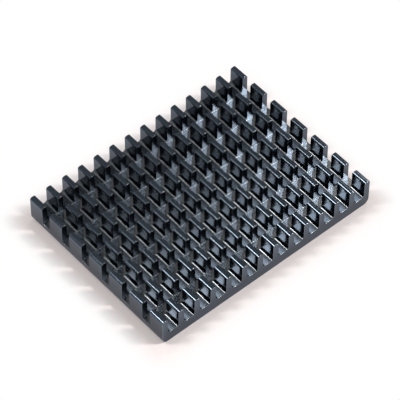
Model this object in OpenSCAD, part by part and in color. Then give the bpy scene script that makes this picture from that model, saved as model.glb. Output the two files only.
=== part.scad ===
// Pin fin heat sink: a flat plate with rows of rectangular pins, all one piece of aluminium.
// The plate is extruded with long fins on it, and the fins are then sawn across into pins.
// X runs across the fins, Y along them, Z up. The origin is the middle of the flat underside.

/* [Plate] */
// Length of the plate, across the fins
length = 40; // [34:0.5:60]
// Width of the plate, along the fins
width = 30; // [24:0.5:50]
// Height from the underside to the tips of the pins
height = 5; // [4:0.1:12]
// Thickness of the plate under the grooves between the fins
plate_thickness = 1.9; // [1.5:0.1:3]
// Radius of the two lower edges that run along the fins
lower_edge_radius = 1; // [0.2:0.1:1.4]

/* [Fins] */
// Number of fins, counting the two that stand flush with the ends
fin_count = 14; // [8:1:18]
// Thickness of each fin
fin_thickness = 1; // [0.7:0.05:1.5]
// Radius of the two long edges at a fin's tip
tip_radius = 0.35; // [0.1:0.05:0.6]
// Radius of the fillet where a fin meets the plate
root_radius = 0.45; // [0.2:0.05:0.8]

/* [Cross cuts] */
// Number of pins that each fin is sawn into
pin_count = 7; // [3:1:9]
// Width of each cut, from pin to pin
cut_width = 1.75; // [1:0.05:2.4]
// How far each cut goes into the plate, below the grooves
cut_into_plate = 0.2; // [0.1:0.05:1.1]

/* [Hidden] */
$fn = 96;
// Distance from one fin to the next, with the outer fins flush with the ends
fin_pitch = (length - fin_thickness) / (fin_count - 1);
// Clear space between two fins
groove_width = fin_pitch - fin_thickness;
// How far a fin stands above the grooves
fin_height = height - plate_thickness;
// Length of one pin along its fin, and the distance from one pin to the next
pin_length = (width - (pin_count - 1) * cut_width) / pin_count;
pin_pitch = pin_length + cut_width;
// What is left of the plate under a cut
floor_thickness = plate_thickness - cut_into_plate;
// Each radius is limited by the walls that it joins or rounds
tip_r = min(tip_radius, 0.45 * fin_thickness, 0.45 * fin_height);
root_r = min(root_radius, 0.45 * groove_width, 0.45 * fin_height);
lower_r = min(lower_edge_radius, 0.9 * floor_thickness);
// How far a cut runs past the faces that it opens
past = 1;

// The sliver between a square corner and its rounding. The rounding's centre is at [0, 0],
// and toward_x and toward_y, each 1 or -1, say which way the corner points.
module corner(r, toward_x, toward_y) {
    difference() {
        translate([min(0, toward_x) * r, min(0, toward_y) * r])
            square([r, r]);
        circle(r = r);
    }
}

// The plate seen from its end: a flat underside with two rounded edges
module plate_outline() {
    difference() {
        square([length, plate_thickness]);
        translate([lower_r, lower_r])
            corner(lower_r, -1, -1);
        translate([length - lower_r, lower_r])
            corner(lower_r, 1, -1);
    }
}

// One fin seen from its end: flat sides and a tip with two rounded edges
module fin_outline() {
    difference() {
        square([fin_thickness, fin_height]);
        translate([tip_r, fin_height - tip_r])
            corner(tip_r, -1, 1);
        translate([fin_thickness - tip_r, fin_height - tip_r])
            corner(tip_r, 1, 1);
    }
}

// The two fillets at the bottom of one groove
module groove_fillets() {
    translate([root_r, root_r])
        corner(root_r, -1, -1);
    translate([groove_width - root_r, root_r])
        corner(root_r, 1, -1);
}

// The whole extruded outline
module section_outline() {
    plate_outline();
    for (i = [0 : fin_count - 1])
        translate([i * fin_pitch, plate_thickness])
            fin_outline();
    for (i = [0 : fin_count - 2])
        translate([i * fin_pitch + fin_thickness, plate_thickness])
            groove_fillets();
}

// The extrusion before it is sawn, with the middle of its underside at the origin
module extrusion() {
    translate([-length / 2, width / 2, 0])
        rotate([90, 0, 0])
            linear_extrude(height = width)
                section_outline();
}

// What the saw takes away between one row of pins and the next
module cross_cut() {
    translate([-length / 2 - past, 0, floor_thickness])
        cube([length + 2 * past, cut_width, height - floor_thickness + past]);
}

// The finished heat sink, black anodised all over
module heat_sink() {
    color([0.13, 0.15, 0.18])
        difference() {
            extrusion();
            for (j = [1 : pin_count - 1])
                translate([0, -width / 2 + j * pin_pitch - cut_width, 0])
                    cross_cut();
        }
}

heat_sink();
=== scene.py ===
# %% [markdown]
# # A pin fin heat sink
#
# This lesson dresses a small aluminium heat sink for a processor. The real one starts as an
# extruded bar: hot aluminium is pushed through a die that has the outline of a plate with tall
# thin fins on it. The bar is cut to length, a gang of saws then cuts across the fins and leaves
# short pins, and the whole piece is anodised black.
#
# Every cell makes one thing and prints what it made. All lengths in the scene are in metres, and
# the object's own sizes are written in millimetres first, as a drawing would give them.

import bpy
import numpy as np
from mathutils import Matrix, Vector


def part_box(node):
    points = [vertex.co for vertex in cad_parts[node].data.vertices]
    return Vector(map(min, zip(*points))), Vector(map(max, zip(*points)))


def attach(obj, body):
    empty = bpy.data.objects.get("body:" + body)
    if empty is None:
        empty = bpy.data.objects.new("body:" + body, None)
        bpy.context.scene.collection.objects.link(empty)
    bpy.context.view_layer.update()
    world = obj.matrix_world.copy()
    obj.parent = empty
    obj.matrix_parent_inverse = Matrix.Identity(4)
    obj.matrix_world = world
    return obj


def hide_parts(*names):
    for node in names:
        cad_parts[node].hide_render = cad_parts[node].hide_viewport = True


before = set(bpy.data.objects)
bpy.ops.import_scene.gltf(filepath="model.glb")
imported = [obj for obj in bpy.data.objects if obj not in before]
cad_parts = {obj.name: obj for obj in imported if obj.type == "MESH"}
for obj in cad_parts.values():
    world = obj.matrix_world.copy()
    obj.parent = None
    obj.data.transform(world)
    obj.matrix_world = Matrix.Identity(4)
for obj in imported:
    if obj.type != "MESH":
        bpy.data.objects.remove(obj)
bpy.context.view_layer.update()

# %% [markdown]
# ## The sizes
#
# The outer size is read from the solid in model.glb, so the dressed piece can't drift away from it.
# The other values repeat the drawing: how thick a fin is, how wide a saw cut is, and how round
# the edges are. The edge break is the tiny rounding that tumbling and etching leave on an edge
# that was sawn sharp.

# %% Sizes in millimetres
MM = 0.001
low, high = (np.array(corner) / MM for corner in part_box("heat_sink"))
LENGTH, WIDTH, HEIGHT = high - low

FIN_COUNT = 14
FIN_THICKNESS = 1.0
TIP_RADIUS = 0.35
ROOT_RADIUS = 0.45
PLATE_THICKNESS = 1.9
LOWER_EDGE_RADIUS = 1.0
ROW_COUNT = 7
CUT_WIDTH = 1.75
CUT_FLOOR = 1.7
EDGE_BREAK = 0.03

FIN_PITCH = (LENGTH - FIN_THICKNESS) / (FIN_COUNT - 1)
PIN_LENGTH = (WIDTH - (ROW_COUNT - 1) * CUT_WIDTH) / ROW_COUNT
print("outer size", np.round([LENGTH, WIDTH, HEIGHT], 3), "mm")
print("fin pitch", round(FIN_PITCH, 3), "mm, pin length", round(PIN_LENGTH, 3), "mm")

# %% [markdown]
# ## The outline that the die gives
#
# Seen from its end, the bar is a plate with fins. One could draw that outline as a curve, or cut
# boxes from boxes with booleans. Here it is worked out as arrays instead, because every fin is
# the same short list of points moved along by one pitch. The points run from the right to the
# left over the fins, and then back along the underside.

# %% Points of one fin and one groove
TIP_STEPS, ROOT_STEPS, LOWER_STEPS = 6, 4, 6


def arc(radius, start, end, steps, centre):
    """Points of an arc: the centre plus radius times (cos a, sin a), a in even steps of degrees."""
    angle = np.radians(np.linspace(start, end, steps + 1))
    return np.array(centre) + radius * np.stack([np.cos(angle), np.sin(angle)], axis=1)


shoulder = PLATE_THICKNESS + ROOT_RADIUS
tip_level = HEIGHT - TIP_RADIUS
fin_points = np.concatenate([
    [[FIN_THICKNESS, shoulder]],
    arc(TIP_RADIUS, 0, 90, TIP_STEPS, (FIN_THICKNESS - TIP_RADIUS, tip_level)),
    arc(TIP_RADIUS, 90, 180, TIP_STEPS, (TIP_RADIUS, tip_level)),
    [[0, shoulder]],
])
left_fin_side = FIN_THICKNESS - FIN_PITCH
groove_points = np.concatenate([
    arc(ROOT_RADIUS, 0, -90, ROOT_STEPS, (-ROOT_RADIUS, shoulder))[1:],
    arc(ROOT_RADIUS, -90, -180, ROOT_STEPS, (left_fin_side + ROOT_RADIUS, shoulder))[:-1],
])
print(len(fin_points), "points round a fin,", len(groove_points), "along a groove")

# %% The whole outline
fin_left = LENGTH / 2 - FIN_THICKNESS - FIN_PITCH * np.arange(FIN_COUNT)


def placed(points, lefts):
    """Copies of a list of (x, z) points, one for each left side in lefts: x plus left, z kept."""
    moved = np.repeat(points[None], len(lefts), axis=0)
    moved[:, :, 0] += np.asarray(lefts)[:, None]
    return moved


fins = placed(fin_points, fin_left)
grooves = placed(groove_points, fin_left[:-1])
feet = placed(np.array([[FIN_THICKNESS, CUT_FLOOR], [0, CUT_FLOOR]]), fin_left)
lower = LOWER_EDGE_RADIUS
base = np.concatenate([
    arc(lower, 180, 270, LOWER_STEPS, (-LENGTH / 2 + lower, lower)),
    arc(lower, 270, 360, LOWER_STEPS, (LENGTH / 2 - lower, lower)),
])
outline = np.concatenate([block.reshape(-1, 2) for block in (fins, grooves, feet, base)])
print(len(outline), "points in the outline")

# %% [markdown]
# ## Which point is which
#
# The points are stored block after block: all fins, all grooves, the feet that stand on the
# floor of a saw cut, and the base. These index arrays say in which order a face walks round
# them. A row of pins follows the whole skyline; a saw cut only follows its own flat floor.

# %% Index arrays
starts = np.cumsum([0] + [block.size // 2 for block in (fins, grooves, feet, base)])
fin_index = np.arange(starts[0], starts[1]).reshape(FIN_COUNT, -1)
groove_index = np.arange(starts[1], starts[2]).reshape(FIN_COUNT - 1, -1)
feet_index = np.arange(starts[2], starts[3]).reshape(FIN_COUNT, 2)
base_index = np.arange(starts[3], starts[4])

paired = np.concatenate([fin_index[:-1], groove_index], axis=1).ravel()
skyline = np.concatenate([paired, fin_index[-1]])
row_loop = np.concatenate([skyline, feet_index[-1, 1:], base_index, feet_index[0, :1]])
cut_loop = np.concatenate([feet_index.ravel(), base_index])
print(len(row_loop), "points round a row,", len(cut_loop), "round a cut")

# %% [markdown]
# ## Carry the outline along the fins
#
# The outline is placed at both ends of every row of pins. Between two places in a row it is
# swept as a row; between two rows it is swept as a cut. The faces left open at the ends of a
# row are the sawn faces of the pins: a flat face for each fin and one for each groove.

# %% Sweep and sawn faces
row_start = -WIDTH / 2 + (PIN_LENGTH + CUT_WIDTH) * np.arange(ROW_COUNT)
stations = np.stack([row_start, row_start + PIN_LENGTH], axis=1).ravel()
POINTS = len(outline)
coordinates = np.empty((len(stations), POINTS, 3))
coordinates[:, :, 0] = outline[:, 0]
coordinates[:, :, 1] = stations[:, None]
coordinates[:, :, 2] = outline[:, 1]


def swept(loop, first_stations):
    """Quads between each point of a closed loop and the next, from one station to the one after."""
    following = np.roll(loop, -1)
    quad = np.stack([loop, loop + POINTS, following + POINTS, following], axis=1)
    return quad[None] + POINTS * np.asarray(first_stations)[:, None, None]


row_quads = swept(row_loop, np.arange(0, len(stations), 2))
cut_quads = swept(cut_loop, np.arange(1, len(stations) - 1, 2))
fin_faces = np.concatenate([feet_index[:, ::-1], fin_index], axis=1)
groove_faces = np.concatenate([
    feet_index[1:, :1], feet_index[:-1, 1:], fin_index[:-1, -1:], groove_index,
    fin_index[1:, :1],
], axis=1)
plate_face = np.concatenate([feet_index.ravel(), base_index])[None]
print(row_quads.size // 4 + cut_quads.size // 4, "swept quads")

# %% [markdown]
# ## Five finishes on one piece
#
# The piece is one metal with one coating, but the tools left it differently. Sides and tips
# were drawn smooth by the die. Groove floors were dragged over the die's thin tongues and are
# duller. Saw cuts have a scratched floor and plain sawn faces. The fifth finish is for the
# broken edges, where handling wears the dye off first. Each face gets a finish number.

# %% Faces with their finish numbers
DRAWN, GROOVE_FLOOR, CUT_BOTTOM, SAWN, WORN_EDGE = range(5)

groove_set = np.isin(row_loop, groove_index) | np.isin(np.roll(row_loop, -1), groove_index)
row_finish = np.where(groove_set, GROOVE_FLOOR, DRAWN)
cut_finish = np.where(np.arange(len(cut_loop)) < feet_index.size - 1, CUT_BOTTOM, DRAWN)

faces, finishes = [], []


def add_faces(index, finish):
    """Adds rows of an index array as faces, each with its finish number."""
    faces.extend(index.tolist())
    finishes.extend(np.broadcast_to(finish, len(index)).tolist())


add_faces(row_quads.reshape(-1, 4), np.tile(row_finish, len(row_quads)))
add_faces(cut_quads.reshape(-1, 4), np.tile(cut_finish, len(cut_quads)))
for station in range(len(stations)):
    facing_back = station % 2 == 1
    walls = [fin_faces, groove_faces]
    if station in (0, len(stations) - 1):
        walls.append(plate_face)
    for wall in walls:
        turned = wall[:, ::-1] if facing_back else wall
        add_faces(turned + station * POINTS, SAWN)
print(len(faces), "faces")

# %% [markdown]
# ## The mesh
#
# The arrays go into one mesh. A narrow bevel breaks the sawn edges, because no real edge is
# perfectly sharp, and it gets the finish of a worn edge. Weighted normals keep the large faces
# flat beside the rounded tips.

# %% Build the heat sink
def make_mesh(name, points, polygons):
    """A new object at the origin from points in millimetres and lists of point numbers."""
    mesh = bpy.data.meshes.new(name)
    mesh.from_pydata((np.asarray(points).reshape(-1, 3) * MM).tolist(), [], polygons)
    mesh.validate()
    thing = bpy.data.objects.new(name, mesh)
    bpy.context.scene.collection.objects.link(thing)
    return thing


heat_sink = make_mesh("anodised_heat_sink", coordinates, faces)
SMOOTH_BELOW, BEVEL_ABOVE = np.radians(35), np.radians(60)
BEVEL_STEPS = 2
heat_sink.data.polygons.foreach_set("use_smooth", np.ones(len(faces), dtype=bool))
heat_sink.data.set_sharp_from_angle(angle=SMOOTH_BELOW)

edge_break = heat_sink.modifiers.new("edge break", "BEVEL")
edge_break.width = EDGE_BREAK * MM
edge_break.segments = BEVEL_STEPS
edge_break.limit_method = "ANGLE"
edge_break.angle_limit = BEVEL_ABOVE
edge_break.material = WORN_EDGE
flat_faces = heat_sink.modifiers.new("flat faces", "WEIGHTED_NORMAL")
flat_faces.keep_sharp = True

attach(heat_sink, "root")
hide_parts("heat_sink")
print(heat_sink.name, len(heat_sink.data.vertices), "vertices")

# %% [markdown]
# ## How a finish is made
#
# Black anodising is a clear glassy oxide full of black dye on bright aluminium. The eye sees
# hardly any colour from inside it, only a soft cool reflection of what stands around. So each
# finish is a metal of a dark blue grey, and what tells them apart is how rough they are and
# which way their fine lines run. One function turns a written colour into the linear numbers
# that a renderer needs, and one adds a node.

# %% Helpers for materials
def linear(hex_colour):
    """Linear red, green, blue, alpha of an sRGB hex colour, by the sRGB curve."""
    value = np.array([int(hex_colour[i:i + 2], 16) for i in (1, 3, 5)]) / 255
    bent = np.where(value <= 0.04045, value / 12.92, ((value + 0.055) / 1.055) ** 2.4)
    return (*bent.tolist(), 1.0)


def add_node(tree, kind, settings=None, values=None, links=None):
    """Adds a node of a kind, sets its properties and socket values, and links its inputs."""
    node = tree.nodes.new(kind)
    for name, value in (settings or {}).items():
        setattr(node, name, value)
    for socket, value in (values or {}).items():
        node.inputs[socket].default_value = value
    for socket, source in (links or {}).items():
        tree.links.new(source, node.inputs[socket])
    return node


def empty_material(name):
    """A new material whose node tree holds nothing yet."""
    material = bpy.data.materials.new(name)
    material.use_nodes = True
    material.node_tree.nodes.clear()
    return material, material.node_tree


print("the middle grey #808080 is", np.round(linear("#808080")[:3], 3), "in linear numbers")

# %% [markdown]
# ## Lines left by a tool
#
# A die, a saw and a scraper all leave lines that run one way. A noise pattern that is stretched
# along that way looks like them. The scale comes from real sizes: lines about 0.1 mm apart and
# several millimetres long. Lines finer than that wouldn't show at this size, so they are drawn
# a little coarser than the real ones. A second, much larger noise lets the colour drift a
# little, because a dye bath never takes evenly.

# %% One anodised finish
LINE_DETAIL, DYE_DETAIL = 3.0, 2.0
# Most of a noise pattern lies between these two values
NOISE_LOW, NOISE_HIGH = 0.3, 0.7
# How wide a patch of dye is, in millimetres, and how far its colour drifts, as a share
DYE_PATCH, DYE_DRIFT = 4.0, 0.2
# The numbers of the colour sockets on a Mix node
MIX_A, MIX_B, MIX_RESULT = 6, 7, 2


def anodised(name, colour, rough, lines_along, line_gap, line_length, depth):
    """Dark metal whose roughness and bump follow noise stretched along one axis.

    rough is the lowest and highest roughness, line_gap and line_length are in millimetres, and
    depth is how deep the lines look, in millimetres. The colour drifts by up to DYE_DRIFT, up
    or down, over DYE_PATCH millimetres.
    """
    material, tree = empty_material(name)
    place = add_node(tree, "ShaderNodeTexCoord")
    across, along = 1 / (line_gap * MM), 1 / (line_length * MM)
    scale = [along if axis == lines_along else across for axis in "XYZ"]
    stretch = add_node(tree, "ShaderNodeMapping", values={"Scale": scale},
                       links={"Vector": place.outputs["Object"]})
    lines = add_node(tree, "ShaderNodeTexNoise", values={"Scale": 1.0, "Detail": LINE_DETAIL},
                     links={"Vector": stretch.outputs["Vector"]})
    spread = add_node(tree, "ShaderNodeMapRange",
                      values={"From Min": NOISE_LOW, "From Max": NOISE_HIGH,
                              "To Min": rough[0], "To Max": rough[1]},
                      links={"Value": lines.outputs["Fac"]})
    bump = add_node(tree, "ShaderNodeBump", values={"Strength": 1.0, "Distance": depth * MM},
                    links={"Height": lines.outputs["Fac"]})
    patches = add_node(tree, "ShaderNodeTexNoise",
                       values={"Scale": 1 / (DYE_PATCH * MM), "Detail": DYE_DETAIL},
                       links={"Vector": place.outputs["Object"]})
    full = np.array(linear(colour)[:3])
    darker, lighter = full * (1 - DYE_DRIFT), full * (1 + DYE_DRIFT)
    dye = add_node(tree, "ShaderNodeMix", {"data_type": "RGBA"},
                   {MIX_A: (*darker, 1), MIX_B: (*lighter, 1)}, {0: patches.outputs["Fac"]})
    surface = add_node(tree, "ShaderNodeBsdfPrincipled", values={"Metallic": 1.0},
                       links={"Base Color": dye.outputs[MIX_RESULT],
                              "Roughness": spread.outputs["Result"],
                              "Normal": bump.outputs["Normal"]})
    add_node(tree, "ShaderNodeOutputMaterial", links={"Surface": surface.outputs["BSDF"]})
    return material


finish_list = [
    anodised("anodised_drawn_by_die", "#495461", (0.08, 0.11), "Y", 0.12, 8.0, 0.0003),
    anodised("anodised_groove_floor", "#51575e", (0.12, 0.18), "Y", 0.10, 5.0, 0.0004),
    anodised("anodised_cut_floor", "#61666c", (0.13, 0.26), "X", 0.14, 3.0, 0.0012),
    anodised("anodised_sawn_face", "#4b5663", (0.10, 0.14), "X", 0.10, 3.0, 0.0006),
    anodised("anodised_worn_edge", "#7f8790", (0.20, 0.30), "Y", 0.10, 2.0, 0.0005),
]
for finish in finish_list:
    heat_sink.data.materials.append(finish)
heat_sink.data.polygons.foreach_set("material_index", np.array(finishes, dtype=np.int32))
print([finish.name for finish in finish_list])

# %% [markdown]
# ## The table
#
# A plain sheet of pale card. A studio table is lit so that the card is white a little way from
# the object and keeps only a soft shadow beside it. The card is an ordinary matt surface there,
# and it fades to plain white with its distance from the object's outline. The fade is only for
# rays that look at the card, so that it sends no extra light onto the object. Lengths are in
# millimetres: the shadow is kept whole up to SHADOW_KEPT and is gone at ALL_WHITE.

# %% Table
TABLE_HALF, TABLE_DROP = 1500.0, 0.01
SHADOW_KEPT, ALL_WHITE = 0.5, 5.0
CARD_COLOUR, CARD_ROUGHNESS, CARD_SHEEN = "#eeebf2", 0.9, 0.1

corners = TABLE_HALF * np.array([[-1, -1], [1, -1], [1, 1], [-1, 1]])
table = make_mesh("table", np.column_stack([corners, np.full(4, -TABLE_DROP)]), [[0, 1, 2, 3]])
card, tree = empty_material("white_card")
place = add_node(tree, "ShaderNodeTexCoord")
folded = add_node(tree, "ShaderNodeVectorMath", {"operation": "ABSOLUTE"},
                  links={0: place.outputs["Object"]})
half_size = (LENGTH / 2 * MM, WIDTH / 2 * MM, 1.0)
outside = add_node(tree, "ShaderNodeVectorMath", {"operation": "SUBTRACT"},
                   {1: half_size}, {0: folded.outputs["Vector"]})
beyond = add_node(tree, "ShaderNodeVectorMath", {"operation": "MAXIMUM"},
                  {1: (0, 0, 0)}, {0: outside.outputs["Vector"]})
distance = add_node(tree, "ShaderNodeVectorMath", {"operation": "LENGTH"},
                    links={0: beyond.outputs["Vector"]})
fade = add_node(tree, "ShaderNodeMapRange", {"interpolation_type": "SMOOTHSTEP"},
                {"From Min": SHADOW_KEPT * MM, "From Max": ALL_WHITE * MM},
                {"Value": distance.outputs["Value"]})


def looking_ray(tree):
    """1 for rays from the camera, from a gloss or through glass, and 0 for rays that light."""
    path = add_node(tree, "ShaderNodeLightPath")
    either = add_node(tree, "ShaderNodeMath", {"operation": "MAXIMUM"},
                      links={0: path.outputs["Is Camera Ray"], 1: path.outputs["Is Glossy Ray"]})
    return add_node(tree, "ShaderNodeMath", {"operation": "MAXIMUM"},
                    links={0: either.outputs[0], 1: path.outputs["Is Transmission Ray"]})


whiteness = add_node(tree, "ShaderNodeMath", {"operation": "MULTIPLY"},
                     links={0: fade.outputs["Result"], 1: looking_ray(tree).outputs[0]})
matt = add_node(tree, "ShaderNodeBsdfPrincipled",
                values={"Base Color": linear(CARD_COLOUR), "Roughness": CARD_ROUGHNESS,
                        "Specular IOR Level": CARD_SHEEN})
white = add_node(tree, "ShaderNodeEmission", values={"Color": (1, 1, 1, 1), "Strength": 1.0})
faded = add_node(tree, "ShaderNodeMixShader", links={
    0: whiteness.outputs[0], 1: matt.outputs["BSDF"], 2: white.outputs["Emission"]})
add_node(tree, "ShaderNodeOutputMaterial", links={"Surface": faded.outputs[0]})
table.data.materials.append(card)
print("table", 2 * TABLE_HALF, "mm wide, all white", ALL_WHITE, "mm from the object")

# %% [markdown]
# ## The light
#
# Light from behind is what makes dark glossy metal readable. A long soft strip hangs above and
# behind the object on the left: it draws a fine line along each rounded tip and each fillet, and
# it lands in the grooves. A weak lamp nearly straight behind carries those lines on over the
# rows further back: only rounded tips and fillets can mirror it to the camera, so it leaves the
# flat faces dark. A smaller lamp at the front right lights the floors of the saw cuts, and a
# weak one at the back right keeps the faces alive that turn away from both. A large box at the
# front right lights the table, and an even pale room gives the rest. All lamps hang at one
# level and are slightly warm, which balances the cool metal in its highlights.

# %% Lamps and room
LAMP_LEVEL, LAMP_COLOUR = 500, "#fff6ea"
ROOM_COLOUR, ROOM_STRENGTH = "#fffaf4", 0.42


def soft_strip(name, start, end, breadth, power):
    """A flat lamp between two (x, y), turned to face the origin. Lengths in mm, power in W."""
    start, end = Vector((*start, LAMP_LEVEL)), Vector((*end, LAMP_LEVEL))
    middle = (start + end) / 2
    away = middle.normalized()
    along = (end - start).normalized()
    along = (along - along.dot(away) * away).normalized()
    data = bpy.data.lights.new(name, "AREA")
    data.shape = "RECTANGLE"
    data.size, data.size_y = (end - start).length * MM, breadth * MM
    data.energy, data.color = power, linear(LAMP_COLOUR)[:3]
    lamp = bpy.data.objects.new(name, data)
    turn = Matrix((along, away.cross(along), away)).transposed().to_4x4()
    lamp.matrix_world = Matrix.Translation(middle * MM) @ turn
    bpy.context.scene.collection.objects.link(lamp)
    return lamp


soft_strip("back_left_lamp", (-430, 262), (-250, 245), 80, 1.7)
soft_strip("back_lamp", (-190, 258), (-90, 252), 60, 0.10)
soft_strip("front_right_lamp", (310, -325), (390, -325), 80, 1.9)
soft_strip("back_right_lamp", (320, 225), (400, 225), 80, 0.25)
soft_strip("front_right_box", (325, -450), (575, -450), 250, 1.8)

world = bpy.data.worlds.new("pale_room")
bpy.context.scene.world = world
world.use_nodes = True
tree = world.node_tree
tree.nodes.clear()
room = add_node(tree, "ShaderNodeBackground",
                values={"Color": linear(ROOM_COLOUR), "Strength": ROOM_STRENGTH})
add_node(tree, "ShaderNodeOutputWorld", links={"Surface": room.outputs[0]})

# %% [markdown]
# ## The camera
#
# A long lens from the front left, looking down. Its place is given as an azimuth, an elevation
# and a distance round the middle of the underside, with a small sideways and upward shift.
# Angles are in degrees and lengths in millimetres.

# %% Camera
AZIMUTH, ELEVATION, ROLL = -40.8819, 50.9877, 0.0994
DISTANCE, SHIFT_RIGHT, SHIFT_UP = 387.6775, -0.0562, 1.5564
LENS, SENSOR = 235.584, 36.0
NEAREST, FARTHEST = 10.0, 10000.0

azimuth, elevation, roll = np.radians([AZIMUTH, ELEVATION, ROLL])
back = np.array([np.sin(azimuth) * np.cos(elevation), -np.cos(azimuth) * np.cos(elevation),
                 np.sin(elevation)])
level_right = np.cross(-back, [0, 0, 1])
level_right /= np.linalg.norm(level_right)
level_up = np.cross(level_right, -back)
right = np.cos(roll) * level_right + np.sin(roll) * level_up
up = -np.sin(roll) * level_right + np.cos(roll) * level_up
spot = back * DISTANCE + right * SHIFT_RIGHT + up * SHIFT_UP

camera_data = bpy.data.cameras.new("camera")
camera_data.lens, camera_data.sensor_width = LENS, SENSOR
camera_data.clip_start, camera_data.clip_end = NEAREST * MM, FARTHEST * MM
camera = bpy.data.objects.new("camera", camera_data)
turn = Matrix(np.column_stack([right, up, back]).tolist()).to_4x4()
camera.matrix_world = Matrix.Translation(Vector(spot * MM)) @ turn
bpy.context.scene.collection.objects.link(camera)
bpy.context.scene.camera = camera
bpy.context.scene.view_settings.view_transform = "Standard"
print("camera at", np.round(spot, 1), "mm")
